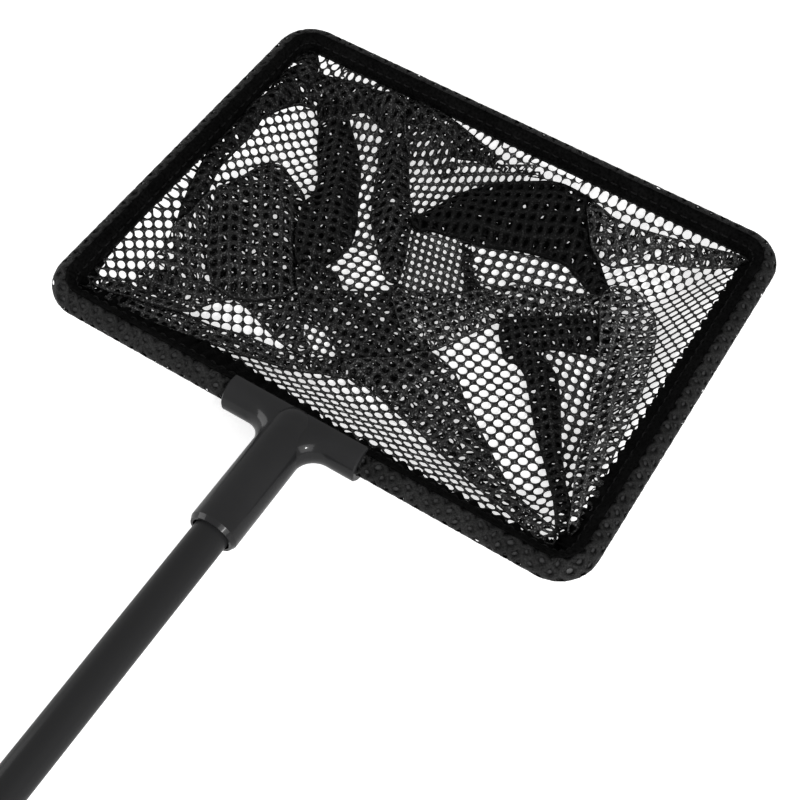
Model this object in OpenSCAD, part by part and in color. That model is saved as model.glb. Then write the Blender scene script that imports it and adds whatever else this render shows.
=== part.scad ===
// Aquarium fish net: a mesh bag sewn round a bent wire frame, a moulded tee, and a two-stage handle
// that telescopes and is held by a twist lock. It lies on z = 0 with the opening up and the handle along -Y.

/* [Net frame] */
// Outer width of the rim, along the side that the handle joins
rim_w = 156; // [130:1:200]
// Outer depth of the rim, in line with the handle
rim_d = 120.5; // [100:0.5:160]
// Outer radius of the rim's corners
rim_corner_r = 11; // [9:0.5:20]
// Diameter of the bare frame wire
wire_dia = 3; // [2:0.1:3.4]
// Outer diameter of the soft sleeve on the wire
sleeve_dia = 5.4; // [5:0.1:5.6]
// Wall of the mesh hem that is sewn round the sleeve
hem_wall = 0.6; // [0.4:0.05:0.8]

/* [Bag] */
// Thickness of the mesh cloth with its knots
cloth_t = 1; // [0.8:0.1:1.4]
// How far in from the rim the bag's wall reaches the table
wall_run = 15; // [10:1:22]
// Height of the tallest fold above the table
fold_h = 9; // [6:0.5:10]
// Half the width of a fold at its foot
fold_w = 13; // [9:1:18]

/* [Tee] */
// Length of the bar that grips the rim
bar_len = 38; // [30:1:50]
// Wall of the bar round the rim
bar_wall = 1.6; // [1.2:0.1:2.2]
// Outer diameter of the stem
stem_dia = 12.6; // [12:0.1:15]
// From the rim's centreline to the stem's mouth
stem_len = 35; // [30:1:50]
// Radius of the fillets between bar and stem
tee_fillet_r = 5; // [3:0.5:8]
// Depth of the socket that takes the handle
socket_depth = 21; // [16:1:22]

/* [Handle] */
// Outer diameter of the front tube
front_dia = 9; // [8:0.1:9.4]
// Wall of the front tube
front_wall = 0.8; // [0.6:0.1:1.2]
// How far the front tube slides in
slide_travel = 100; // [60:1:160]
// Length of the front tube that still shows, pushed right in
front_left = 8; // [4:1:30]
// Outer diameter of the rear tube
rear_dia = 13; // [12.8:0.1:15]
// Wall of the rear tube
rear_wall = 1; // [0.8:0.1:1.1]

/* [Lock] */
// Outer diameter of the lock nut
nut_dia = 18; // [17:0.5:22]
// Length of the lock nut
nut_len = 22; // [20:1:28]
// Number of flutes round the lock nut
nut_flutes = 14; // [8:1:16]

/* [Grip] */
// Outer diameter of the grip at its widest
grip_dia = 24; // [22:0.5:28]
// Length of the grip
grip_len = 110; // [80:1:126]
// Number of ring grooves in the grip
grip_grooves = 8; // [5:1:9]

/* [End cap] */
// Outer diameter of the end cap
cap_dia = 17; // [16:0.5:20]
// Length of the end cap's flat tab behind its collar
tab_len = 17; // [15:1:24]
// Thickness of the flat tab
tab_t = 7; // [5:0.5:9]
// Diameter of the hanging hole
hang_dia = 5; // [4:0.5:7]

/* [Hidden] */
$fn = 64;
over = 1;        // how far a cut runs past the face that it opens
seat_gap = 0.05; // between pieces that are pushed together
run_gap = 0.08;  // between pieces that slide or turn on each other
soft_gap = 0.2;  // between the bag and the hem that it hangs from

// The rim: its centreline is a rounded rectangle at the handle's height
wire_r = wire_dia / 2;
sleeve_r = sleeve_dia / 2;
hem_in_r = sleeve_r + seat_gap;
hem_r = hem_in_r + hem_wall;
half_w = rim_w / 2 - hem_r;
half_d = rim_d / 2 - hem_r;
corner_r = rim_corner_r - hem_r;

// The tee
bar_r = hem_r + seat_gap + bar_wall;
stem_r = stem_dia / 2;
tail_bend_r = wire_dia;
tail_x = wire_r + 0.25 * wire_dia;
tail_gap = tail_x + tail_bend_r;
sleeve_gap = tail_gap + wire_r;
lip_share = 0.55; // how far the bar's lips pass the rim's centreline, of the hem's radius
bar_edge = bar_wall / 4;
mouth_edge = 1.2;
mouth_depth = 2.2;
mouth_gap = 0.55; // round the tube, where the mouth opens out
dome_station = 2;

// The handle rests on its grip, which sets the height of the rim and of the tubes
axis_z = grip_dia / 2;

// Along the handle, each place is a station: its distance from the rim's near centreline
front_r = front_dia / 2;
rear_r = rear_dia / 2;
rear_bore_r = rear_r - rear_wall;
socket_end = stem_len - socket_depth;
thread_len = 9;
finger_len = 8;
nut_wall = 3.5;
spigot_len = 12;
stop_gap = 0.3;
bush_len = 12;
bush_flange = 1;
bush_spigot = 10;
end_room = 20;
cap_spigot = 14;
cap_collar = 4;
grip_gap = 0.5;
nut_front = stem_len + front_left + slide_travel;
collet_front = nut_front + nut_wall;
rear_front = collet_front + finger_len + thread_len;
bush_front = rear_front + spigot_len + stop_gap;
bush_end = bush_front + bush_len;
front_end = bush_end - bush_flange;
rear_end = bush_end + slide_travel + end_room + cap_spigot;
tail_station = rear_end + cap_collar + tab_len;
grip_front = rear_end - grip_len - grip_gap;

// The lock
finger_wall = 1.1;
thread_rise = 0.2;
finger_tip_r = front_r + finger_wall;
thread_r = rear_r + thread_rise;
slit_w = 0.8;
flute_r = 1.1;
nut_edge = 1;

// The grip and the end cap
grip_taper = 7;
grip_drop = 2.5;
grip_end_r = grip_dia / 2 - grip_drop;
groove_r = 2.2;
cap_edge = 0.5;
tab_inset = 1;
tab_r = cap_dia / 2 - tab_inset;
hole_station = tail_station - tab_r;

// The thread that closes the hem runs along its inner side
thread_dia = 0.6;
seam_in = hem_r + 2 * seat_gap + thread_dia / 2;

// The place of the rim in the part's frame
near_y = (tail_station + hem_r - rim_d) / 2;
rim_y = near_y + half_d;

// The bag hangs from the hem's inner underside
hang_in = (hem_r + soft_gap + cloth_t / 2) * sin(45);
bag_half_w = half_w - hang_in;
bag_half_d = half_d - hang_in;
bag_corner_r = corner_r - hang_in;
bag_top = axis_z - hang_in;
// The mesh's openings, in a plain grid that is coarser than the real one
bag_openings_x = 11;
bag_openings_y = 9;
bag_columns = 2 * bag_openings_x + 1;
bag_rows = 2 * bag_openings_y + 1;
strand_share = 0.45; // a strand's width, of the distance between openings
crest_share = 1.4; // a fold's foot runs out this much further than a plain wave's
// Main folds as [x0, y0, x1, y1, height, width], in shares of the bag's half sides, fold_h and fold_w
fold_shares = [
    [-0.85, -0.15, -0.35, -0.25, 1.00, 1.70],
    [-0.90, 0.90, -0.48, 0.20, 0.85, 0.95],
    [-0.57, 0.95, -0.15, 0.15, 0.95, 0.90],
    [-0.15, 0.30, 0.08, 0.95, 0.60, 0.80],
    [0.05, 0.45, 0.45, 0.80, 1.00, 1.30],
    [-0.10, 0.15, 0.10, -0.42, 0.90, 1.00],
    [0.10, -0.40, 0.60, 0.10, 0.90, 1.00],
    [0.60, 0.25, 0.92, 0.92, 0.85, 0.90],
    [0.15, -0.45, 0.90, -0.90, 0.80, 1.10],
    [0.60, -0.15, 0.92, -0.85, 0.70, 0.75],
    [0.70, 0.45, 0.90, -0.60, 0.95, 0.95],
    [-0.92, -0.88, 0.02, -0.52, 0.65, 0.80]
];

module at_station(station) {
    translate([0, near_y - station, axis_z]) rotate([90, 0, 0]) children();
}

module rod(r, from, to) {
    at_station(from) cylinder(h = to - from, r = r);
}

// A round bar along the rim, drawn in from its centreline, and open for gap each side of the near middle
module rim_loop(r, gap, drawn_in = 0) {
    w = half_w - drawn_in;
    d = half_d - drawn_in;
    bend_r = corner_r - drawn_in;
    straight_w = w - bend_r;
    straight_d = d - bend_r;
    translate([0, rim_y, axis_z]) {
        for (sx = [-1, 1]) {
            translate([sx * w, -straight_d, 0]) rotate([-90, 0, 0]) cylinder(h = 2 * straight_d, r = r);
            translate([sx > 0 ? gap : -straight_w, -d, 0]) rotate([0, 90, 0])
                cylinder(h = straight_w - gap, r = r);
            for (sy = [-1, 1]) translate([sx * straight_w, sy * straight_d, 0])
                rotate([0, 0, sx * sy > 0 ? (sx > 0 ? 0 : 180) : (sx > 0 ? 270 : 90)])
                    rotate_extrude(angle = 90) translate([bend_r, 0]) circle(r = r);
        }
        translate([-straight_w, d, 0]) rotate([0, 90, 0]) cylinder(h = 2 * straight_w, r = r);
    }
}

// The wire's two ends turn back side by side into the tee
module wire_tails(r) {
    for (side = [-1, 1]) {
        translate([side * tail_gap, near_y - tail_bend_r, axis_z]) rotate([0, 0, side > 0 ? 90 : 0])
            rotate_extrude(angle = 90) translate([tail_bend_r, 0]) circle(r = r);
        translate([side * tail_x, 0, 0]) rod(r, tail_bend_r, socket_end - seat_gap);
    }
}

module frame_wire() {
    color("gray") {
        rim_loop(wire_r, tail_gap);
        wire_tails(wire_r);
    }
}

module wire_sleeve() {
    color("#141414") difference() {
        rim_loop(sleeve_r, sleeve_gap);
        rim_loop(wire_r + seat_gap, tail_gap);
    }
}

module hem() {
    color("#101010") difference() {
        rim_loop(hem_r, sleeve_gap);
        rim_loop(hem_in_r, tail_gap);
    }
}

// The seam starts and ends in the middle of the near side, with a small gap between its ends
module seam_thread() {
    color("#0a0a0a") rim_loop(thread_dia / 2, thread_dia, seam_in);
}

// The bag is a crumpled sheet with openings: a grid of points, each with a height, made solid below.
// Its cells are strands, and each second cell of each second row is an opening.
function share(i, openings) =
    2 * (floor(i / 2) + i % 2 * strand_share) / (openings + strand_share) - 1;
function corner_pull(x, y) =
    let (dx = abs(x) - (bag_half_w - bag_corner_r), dy = abs(y) - (bag_half_d - bag_corner_r), d = norm([dx, dy]))
    dx > 0 && dy > 0 && d > bag_corner_r ? bag_corner_r / d : 1;
function to_segment(p, a, b) =
    let (ab = b - a, t = max(0, min(1, (p - a) * ab / (ab * ab)))) norm(p - a - t * ab);
function fold_at(p, f) =
    let (
        a = [f[0] * bag_half_w, f[1] * bag_half_d],
        b = [f[2] * bag_half_w, f[3] * bag_half_d],
        d = to_segment(p, a, b) / (crest_share * f[5] * fold_w)
    )
    d < 1 ? f[4] * fold_h * (1 - sin(90 * d)) : 0;
function edge_gap(p) = min(bag_half_w - abs(p[0]), bag_half_d - abs(p[1]));
function bag_height(p) =
    let (
        e = max(0, min(1, edge_gap(p) / wall_run)),
        wall = (bag_top - cloth_t) * (1 + cos(180 * e)) / 2,
        fold = max([for (f = fold_shares) fold_at(p, f)]) * min(1, edge_gap(p) / fold_w)
    )
    max(wall, min(fold, fold_h - cloth_t)) + cloth_t / 2;
function bag_point(i, j) =
    let (
        x = share(i, bag_openings_x) * bag_half_w,
        y = share(j, bag_openings_y) * bag_half_d,
        pull = corner_pull(x, y),
        cx = sign(x) * (bag_half_w - bag_corner_r),
        cy = sign(y) * (bag_half_d - bag_corner_r),
        px = pull < 1 ? cx + (x - cx) * pull : x,
        py = pull < 1 ? cy + (y - cy) * pull : y
    )
    [px, py, bag_height([x, y])];

module net_bag() {
    nx = bag_columns + 1;
    ny = bag_rows + 1;
    sheet = [for (j = [0:bag_rows]) for (i = [0:bag_columns]) bag_point(i, j)];
    points = [for (s = [1, -1]) for (p = sheet) [p[0], p[1] + rim_y, p[2] + s * cloth_t / 2]];
    below = nx * ny;
    function at(i, j) = j * nx + i;
    function is_open(i, j) = i % 2 == 1 && j % 2 == 1;
    function walls(ring) =
        let (n = len(ring))
        [for (k = [0:n - 1]) let (a = ring[k], b = ring[(k + 1) % n]) for (f = [
            [a, b, b + below], [a, b + below, a + below]
        ]) f];
    cells = [for (j = [0:bag_rows - 1]) for (i = [0:bag_columns - 1]) [i, j]];
    upper = [for (c = cells) if (!is_open(c[0], c[1])) for (f = [
        [at(c[0], c[1]), at(c[0] + 1, c[1] + 1), at(c[0] + 1, c[1])],
        [at(c[0], c[1]), at(c[0], c[1] + 1), at(c[0] + 1, c[1] + 1)]
    ]) f];
    lower = [for (f = upper) [f[2] + below, f[1] + below, f[0] + below]];
    inner = [for (c = cells) if (is_open(c[0], c[1])) for (f = walls([
        at(c[0], c[1]), at(c[0], c[1] + 1), at(c[0] + 1, c[1] + 1), at(c[0] + 1, c[1])
    ])) f];
    outer = walls(concat(
        [for (i = [0:bag_columns - 1]) at(i, 0)],
        [for (j = [0:bag_rows - 1]) at(bag_columns, j)],
        [for (i = [bag_columns:-1:1]) at(i, bag_rows)],
        [for (j = [bag_rows:-1:1]) at(0, j)]
    ));
    color("#202020") polyhedron(points = points, faces = concat(upper, lower, inner, outer), convexity = 10);
}

module tee_fillets() {
    for (side = [-1, 1])
        translate([side * (stem_r + tee_fillet_r), near_y - bar_r - tee_fillet_r, axis_z])
            rotate([0, 0, side > 0 ? 90 : 0]) rotate_extrude(angle = 90)
                translate([tee_fillet_r + bar_r, 0]) circle(r = bar_r);
}

// A round bar along its own Z whose ends are chamfered by edge
module chamfered_rod(h, r, edge) {
    cylinder(h = edge, r1 = r - edge, r2 = r);
    translate([0, 0, edge]) cylinder(h = h - 2 * edge, r = r);
    translate([0, 0, h - edge]) cylinder(h = edge, r1 = r, r2 = r - edge);
}

module tee_body() {
    translate([-bar_len / 2, near_y, axis_z]) rotate([0, 90, 0]) chamfered_rod(bar_len, bar_r, bar_edge);
    at_station(dome_station) sphere(r = stem_r);
    rod(stem_r, dome_station, stem_len - mouth_edge);
    at_station(stem_len - mouth_edge) cylinder(h = mouth_edge, r1 = stem_r, r2 = stem_r - mouth_edge / 2);
    tee_fillets();
}

module tee_connector() {
    lip_y = near_y + lip_share * hem_r;
    color("#383838") difference() {
        tee_body();
        translate([-bar_len / 2 - over, near_y, axis_z]) rotate([0, 90, 0])
            cylinder(h = bar_len + 2 * over, r = hem_r + seat_gap);
        translate([-bar_len / 2 - over, lip_y, axis_z - stem_r - over])
            cube([bar_len + 2 * over, stem_r + over, 2 * (stem_r + over)]);
        for (side = [-1, 1]) translate([side * tail_x, 0, 0]) rod(wire_r + seat_gap, 0, socket_end + over);
        rod(front_r + seat_gap, socket_end, stem_len + over);
        rod(front_r + mouth_gap, stem_len - mouth_depth, stem_len + over);
    }
}

module front_tube() {
    color("#333333") difference() {
        rod(front_r, socket_end + seat_gap, front_end);
        rod(front_r - front_wall, socket_end - over, front_end + over);
    }
}

// Runs in the rear tube and stops against the collet when the handle is pulled right out
module guide_bush() {
    bore_r = front_r - front_wall;
    plug_front = front_end - bush_spigot;
    color("#dddddd") difference() {
        union() {
            difference() {
                rod(rear_bore_r - run_gap, bush_front, bush_end);
                rod(front_r + seat_gap, bush_front - over, front_end + seat_gap);
            }
            rod(bore_r - seat_gap, plug_front, bush_end);
        }
        rod(bore_r / 2, plug_front - over, bush_end + over);
    }
}

module rear_tube() {
    color("#2d2d2d") difference() {
        rod(rear_r, rear_front, rear_end);
        rod(rear_bore_r, rear_front - over, rear_end + over);
    }
}

// Split fingers that the nut closes on the front tube, on a threaded barrel pushed into the rear tube
module lock_collet() {
    slit_len = finger_len + thread_len / 3;
    barrel_front = collet_front + finger_len;
    color("#1c1c1c") difference() {
        union() {
            at_station(collet_front) cylinder(h = finger_len, r1 = finger_tip_r, r2 = thread_r);
            rod(thread_r, barrel_front, rear_front - seat_gap);
            rod(rear_bore_r - seat_gap, barrel_front, rear_front + spigot_len);
        }
        rod(front_r + run_gap, collet_front - over, rear_front + spigot_len + over);
        for (turn = [0, 90]) at_station(collet_front - over) rotate([0, 0, turn])
            translate([-rear_r - over, -slit_w / 2, 0]) cube([2 * (rear_r + over), slit_w, slit_len + over]);
    }
}

module lock_nut() {
    barrel_front = collet_front + finger_len;
    color("#262626") difference() {
        at_station(nut_front) chamfered_rod(nut_len, nut_dia / 2, nut_edge);
        rod(front_r + mouth_gap, nut_front - over, collet_front);
        at_station(collet_front - run_gap)
            cylinder(h = finger_len + run_gap, r1 = finger_tip_r + run_gap, r2 = thread_r + run_gap);
        rod(thread_r + run_gap, barrel_front - run_gap, nut_front + nut_len + over);
        for (k = [0:nut_flutes - 1]) at_station(nut_front - over) rotate([0, 0, k * 360 / nut_flutes])
            translate([nut_dia / 2 + flute_r / 3, 0, 0]) cylinder(h = nut_len + 2 * over, r = flute_r, $fn = 24);
    }
}

// Ring grooves with round floors, in a sleeve that tapers at both ends
module grip_sleeve() {
    grip_r = grip_dia / 2;
    pitch = (grip_len - 4 * grip_taper) / grip_grooves;
    grip_end = grip_front + grip_len;
    color("#222222") difference() {
        union() {
            at_station(grip_front) cylinder(h = grip_taper, r1 = grip_end_r, r2 = grip_r);
            rod(grip_r, grip_front + grip_taper, grip_end - grip_taper);
            at_station(grip_end - grip_taper) cylinder(h = grip_taper, r1 = grip_r, r2 = grip_end_r);
        }
        rod(rear_r + seat_gap, grip_front - over, grip_end + over);
        for (k = [0:grip_grooves - 1]) at_station(grip_front + 2 * grip_taper + pitch / 2 + k * pitch)
            rotate_extrude() translate([grip_r + groove_r / 2, 0]) circle(r = groove_r);
    }
}

// A collar and a plug for the rear tube, with a flat tab that hangs on a hook
module end_cap() {
    tab_station = rear_end + cap_collar;
    color("#2a2a2a") difference() {
        union() {
            rod(rear_bore_r - seat_gap, rear_end - cap_spigot, rear_end + over);
            at_station(rear_end) chamfered_rod(cap_collar, cap_dia / 2, cap_edge);
            intersection() {
                union() {
                    rod(tab_r, tab_station - over, hole_station);
                    at_station(hole_station) sphere(r = tab_r);
                }
                at_station(tab_station - over) translate([-tab_r, -tab_t / 2, 0])
                    cube([2 * tab_r, tab_t, tab_len + 2 * over]);
            }
        }
        translate([0, near_y - hole_station, axis_z - tab_r]) cylinder(h = 2 * tab_r, d = hang_dia);
    }
}

frame_wire();
wire_sleeve();
hem();
seam_thread();
net_bag();
tee_connector();
front_tube();
guide_bush();
rear_tube();
lock_collet();
lock_nut();
grip_sleeve();
end_cap();
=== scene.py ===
"""Blender scene of the aquarium fish net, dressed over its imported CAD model."""

import bpy
import numpy as np
from mathutils import Matrix, Vector


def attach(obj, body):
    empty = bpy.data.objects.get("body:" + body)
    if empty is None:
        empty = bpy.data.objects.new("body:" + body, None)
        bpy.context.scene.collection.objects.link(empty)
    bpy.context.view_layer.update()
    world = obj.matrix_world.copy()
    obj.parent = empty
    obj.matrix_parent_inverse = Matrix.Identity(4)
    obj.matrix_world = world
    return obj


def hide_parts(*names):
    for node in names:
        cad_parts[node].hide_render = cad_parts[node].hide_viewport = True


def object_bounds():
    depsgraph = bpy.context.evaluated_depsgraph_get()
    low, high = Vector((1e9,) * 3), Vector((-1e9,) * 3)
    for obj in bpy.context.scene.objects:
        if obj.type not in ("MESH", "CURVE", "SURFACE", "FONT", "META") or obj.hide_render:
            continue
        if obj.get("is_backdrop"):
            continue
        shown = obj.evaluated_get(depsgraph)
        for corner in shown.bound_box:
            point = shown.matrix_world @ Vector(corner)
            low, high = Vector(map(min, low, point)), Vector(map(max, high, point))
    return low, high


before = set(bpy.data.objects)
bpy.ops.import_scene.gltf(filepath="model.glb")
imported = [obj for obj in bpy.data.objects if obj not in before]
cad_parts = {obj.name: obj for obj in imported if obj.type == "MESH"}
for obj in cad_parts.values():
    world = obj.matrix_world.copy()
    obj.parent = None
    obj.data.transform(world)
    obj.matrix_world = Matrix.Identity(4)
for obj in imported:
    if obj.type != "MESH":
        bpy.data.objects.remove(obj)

cad_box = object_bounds()
scene = bpy.context.scene
MM = 0.001

# Lengths are in millimetres, apart from those of the camera, the floor and the lamps, which are in metres.

# Rim of the net: half sizes and corner of its centreline, height, place along the handle, and radius
RIM_W, RIM_D, RIM_CORNER = 74.65, 56.9, 7.65
RIM_Z, RIM_Y = 12.0, 169.725
HEM_R = 3.05

# Bag: its edge under the rim, the height of that edge, and the lowest cloth
EDGE_W, EDGE_D, EDGE_CORNER = 72.1, 54.35, 5.1
EDGE_Z, FLOOR_Z = 9.4, 0.55

# Net: distance between holes, usual radius of a hole, and half the thickness of the cloth
PITCH, HOLE_R, CLOTH_HALF = 2.8, 0.95, 0.3


# --- Camera, solved from the outline of the rim in the photograph ---

def add_object(name, data):
    made = bpy.data.objects.new(name, data)
    scene.collection.objects.link(made)
    return made


camera = add_object("camera", bpy.data.cameras.new("camera"))
camera.data.sensor_width = 36
camera.data.lens = 65.29
camera.data.clip_start = 0.01
camera.matrix_world = Matrix((
    (0.8488, -0.4577, 0.2645, 0.11004),
    (0.5272, 0.6952, -0.4887, -0.039715),
    (0.0398, 0.5543, 0.8314, 0.30557),
    (0, 0, 0, 1),
))
scene.camera = camera


# --- Materials ---

class Shader:
    """A material with one Principled shader, and short calls for the nodes that feed it."""

    def __init__(self, name, colour, rough, **sockets):
        self.material = bpy.data.materials.new(name)
        self.material.use_nodes = True
        self.tree = self.material.node_tree
        self.principled = self.tree.nodes["Principled BSDF"]
        self.colour = colour
        self.set("Base Color", (*colour, 1))
        self.set("Roughness", rough)
        for socket, value in sockets.items():
            self.set(socket.replace("_", " "), value)

    def set(self, socket, value):
        self.principled.inputs[socket].default_value = value

    def node(self, kind, **values):
        made = self.tree.nodes.new(kind)
        for socket, value in values.items():
            made.inputs[socket.replace("_", " ")].default_value = value
        return made

    def link(self, out, into):
        self.tree.links.new(out, into)

    def noise(self, size, stretch=(1, 1, 1), detail=4.0):
        """Noise with grains about size millimetres across, longer where stretch is over 1."""
        place = self.node("ShaderNodeTexCoord")
        mapping = self.node("ShaderNodeMapping", Scale=[1 / s for s in stretch])
        made = self.node("ShaderNodeTexNoise", Scale=1 / (size * MM), Detail=detail)
        self.link(place.outputs["Object"], mapping.inputs["Vector"])
        self.link(mapping.outputs["Vector"], made.inputs["Vector"])
        return made.outputs["Fac"]

    def ranged(self, value, low, high, start=0.3, end=0.7):
        """A number from low to high, as value goes from start to end."""
        made = self.node("ShaderNodeMapRange", From_Min=start, From_Max=end, To_Min=low, To_Max=high)
        self.link(value, made.inputs["Value"])
        return made.outputs["Result"]

    def times(self, value, factor):
        made = self.tree.nodes.new("ShaderNodeMath")
        made.operation = "MULTIPLY"
        self.link(value, made.inputs[0])
        self.link(factor, made.inputs[1])
        return made.outputs["Value"]

    def rough_from(self, value, low, high):
        self.link(self.ranged(value, low, high), self.principled.inputs["Roughness"])

    def colour_from(self, value, low, high):
        """The base colour times a number from low to high."""
        mix = self.tree.nodes.new("ShaderNodeMix")
        mix.data_type = "RGBA"
        colours = [s for s in mix.inputs if s.type == "RGBA"]
        colours[0].default_value = (*[c * low for c in self.colour], 1)
        colours[1].default_value = (*[c * high for c in self.colour], 1)
        self.link(self.ranged(value, 0, 1), mix.inputs["Factor"])
        result = [s for s in mix.outputs if s.type == "RGBA"][0]
        self.link(result, self.principled.inputs["Base Color"])

    def bump_from(self, value, depth):
        """Relief depth millimetres deep."""
        bump = self.node("ShaderNodeBump", Strength=1.0, Distance=depth * MM)
        self.link(value, bump.inputs["Height"])
        self.link(bump.outputs["Normal"], self.principled.inputs["Normal"])


def cloth_shader(name, colour, fibre, shine, painted_glint_gain=1):
    """Cloth of fine fibres, its colour scaled by its mesh's painted light and shade, by random clouds and by
    the fibres, and by painted glints on single fibres, up to sparkle times lighter.
    """
    made = Shader(name, colour, 0.6, Specular_IOR_Level=shine)
    fine = made.noise(fibre)
    made.rough_from(fine, 0.42, 0.72)
    made.bump_from(fine, fibre * 0.5)
    # Painted light and shade: a point attribute that scales the colour, lighter on lit folds, darker on
    # shaded folds and on layers under others
    painted_shading = made.node("ShaderNodeAttribute")
    painted_shading.attribute_name = "painted_shading"
    clouds = made.ranged(made.noise(6, detail=2.0), 0.7, 1.4)
    fibres = made.ranged(made.noise(fibre * 2.2, detail=2.0), 0.3, 1.7)
    # The colour's factor: painted light and shade, times random clouds and the fibres' grain
    light = made.times(made.times(painted_shading.outputs["Fac"], clouds), fibres)
    # Painted glints: small spots on the fibres made several times lighter in colour
    if painted_glint_gain > 1:
        painted_glints = made.ranged(made.noise(fibre * 3, detail=0.0), 1, painted_glint_gain, 0.6, 0.7)
        light = made.times(light, painted_glints)
    tinted = made.node("ShaderNodeVectorMath", Vector=colour)
    tinted.operation = "SCALE"
    made.link(light, tinted.inputs["Scale"])
    made.link(tinted.outputs["Vector"], made.principled.inputs["Base Color"])
    return made.material


def moulded_shader(name, colour, rough, grain, stretch=(1, 1, 1), shine=0.12, coat=0.0):
    """Moulded or extruded plastic with a fine grain, faint clouds and a little polish from handling."""
    made = Shader(name, colour, rough, Specular_IOR_Level=shine, Coat_Weight=coat, Coat_Roughness=0.12)
    fine = made.noise(grain, stretch)
    clouds = made.noise(14, stretch, detail=3.0)
    made.colour_from(clouds, 0.88, 1.14)
    made.rough_from(clouds, rough - 0.06, rough + 0.08)
    made.bump_from(fine, grain * 0.05)
    return made.material


def steel_shader():
    """Steel wire with the fine lines of drawing."""
    made = Shader("drawn_steel", (0.42, 0.42, 0.43), 0.3, Metallic=1.0)
    lines = made.noise(0.3, (40, 1, 1))
    made.rough_from(lines, 0.22, 0.4)
    made.bump_from(lines, 0.01)
    return made.material


# The bag's cloth gets painted glints on its fibres, up to six times lighter
mesh_cloth = cloth_shader("mesh_cloth", (0.0148, 0.0148, 0.0148), 0.16, 0.05, painted_glint_gain=6)
hem_cloth = cloth_shader("hem_cloth", (0.0115, 0.0115, 0.0115), 0.16, 0.05)
# The band's near black is partly the gathered hem's own black and partly painted shade of the gap inside the
# rim
band_cloth_painted_shade = cloth_shader("band_cloth_painted_shade", (0.002, 0.002, 0.002), 0.3, 0.01)
thread_cloth = cloth_shader("sewing_thread", (0.004, 0.004, 0.004), 0.12, 0.05)
tee_plastic = moulded_shader("charcoal_moulded", (0.0115, 0.0115, 0.012), 0.4, 0.35, shine=0.03, coat=0.24)
tube_plastic = moulded_shader("charcoal_extruded", (0.0138, 0.0138, 0.0142), 0.4, 0.3, (1, 30, 1),
                              shine=0.05, coat=0.05)
# The sleeve's grey is partly its own and partly painted reflection, lighter than the cloth so that it shows
# as light dots through the hem's holes
sleeve_plastic = moulded_shader("soft_sleeve", (0.045, 0.045, 0.0455), 0.36, 0.3, shine=0.06, coat=0.05)
bush_plastic = moulded_shader("white_sliding", (0.55, 0.55, 0.53), 0.4, 0.3)
rubber = moulded_shader("soft_rubber", (0.02, 0.02, 0.021), 0.68, 0.5)

finishes = {
    "frame_wire": steel_shader(),
    "wire_sleeve": sleeve_plastic,
    "tee_connector": tee_plastic,
    "front_tube": tube_plastic,
    "guide_bush": bush_plastic,
    "rear_tube": tube_plastic,
    "lock_collet": tee_plastic,
    "lock_nut": tee_plastic,
    "grip_sleeve": rubber,
    "end_cap": tee_plastic,
}
for node, finish in finishes.items():
    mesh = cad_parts[node].data
    mesh.materials.clear()
    mesh.materials.append(finish)


# --- Pieces from arrays of points, in millimetres from the rim's centre on the table ---

def add_piece(name, points, faces, finish, slot, painted_shadings=1.0):
    """A piece that rides on the net's body. The last argument gives the painted light and shade of its cloth,
    point by point or all over.
    """
    mesh = bpy.data.meshes.new(name)
    mesh.from_pydata(((points + (0, RIM_Y, 0)) * MM).tolist(), [], faces.tolist())
    mesh.shade_smooth()
    # The cloth's painted light and shade, as a point attribute that its material reads
    painted_shading = mesh.attributes.new("painted_shading", "FLOAT", "POINT")
    painted_shading.data.foreach_set("value", np.broadcast_to(np.float32(painted_shadings), len(points)))
    mesh.materials.append(finish)
    made = add_object(name, mesh)
    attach(made, "net_head")
    return made


# --- Net: round holes in a thin cloth whose strands are thickest halfway between holes ---

# Points round a square cell of size 1, three to a side, and their distances from its middle
RING_POINTS = 12
TURNS = np.radians((np.arange(RING_POINTS) + 0.5) * 360 / RING_POINTS)
ROUND = np.stack([np.cos(TURNS), np.sin(TURNS)], 1)
RING = ROUND * 0.5 / np.abs(ROUND).max(1)[:, None]
RING_R = np.linalg.norm(RING, axis=1)[:, None]
# Points of neighbouring cells count as one when they agree to a cell over this number
CELL_STEPS = 1000


def knit(centres, ring, period=None):
    """The crest points round the holes, their numbers hole by hole, and the edges along the border.
    period closes the net into a tube or ring."""
    crest = (centres[:, None] + ring).reshape(-1, 2)
    keys = np.round(crest * CELL_STEPS).astype(np.int64)
    if period:
        keys = keys % (np.array(period) * CELL_STEPS)
    _, first, number = np.unique(keys, axis=0, return_index=True, return_inverse=True)
    corner = number.reshape(-1, RING_POINTS)
    edges = np.stack([corner, np.roll(corner, -1, 1)], -1).reshape(-1, 2)
    _, same, uses = np.unique(np.sort(edges, 1), axis=0, return_inverse=True, return_counts=True)
    return crest[first], corner, edges[uses[same.ravel()] == 1]


def net_solid(middle, normal, holes, corner, border, half=CLOTH_HALF):
    """Points and faces of a net from its crest points, their normals and the points round its holes."""
    count = len(middle)
    lift = normal * half / (np.linalg.norm(normal, axis=1)[:, None] + 1e-9)
    hole = 2 * count + np.arange(corner.size).reshape(-1, RING_POINTS)
    following, hole_next = np.roll(corner, -1, 1), np.roll(hole, -1, 1)
    top = np.stack([corner, following, hole_next, hole], -1).reshape(-1, 4)
    bottom = np.stack([following + count, corner + count, hole, hole_next], -1).reshape(-1, 4)
    a, b = border.T
    side = np.stack([b, a, a + count, b + count], -1)
    return np.concatenate([middle + lift, middle - lift, holes]), np.concatenate([top, bottom, side])


# --- Shape of the bag: a ground of single cloth and folds that lie on it ---

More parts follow.
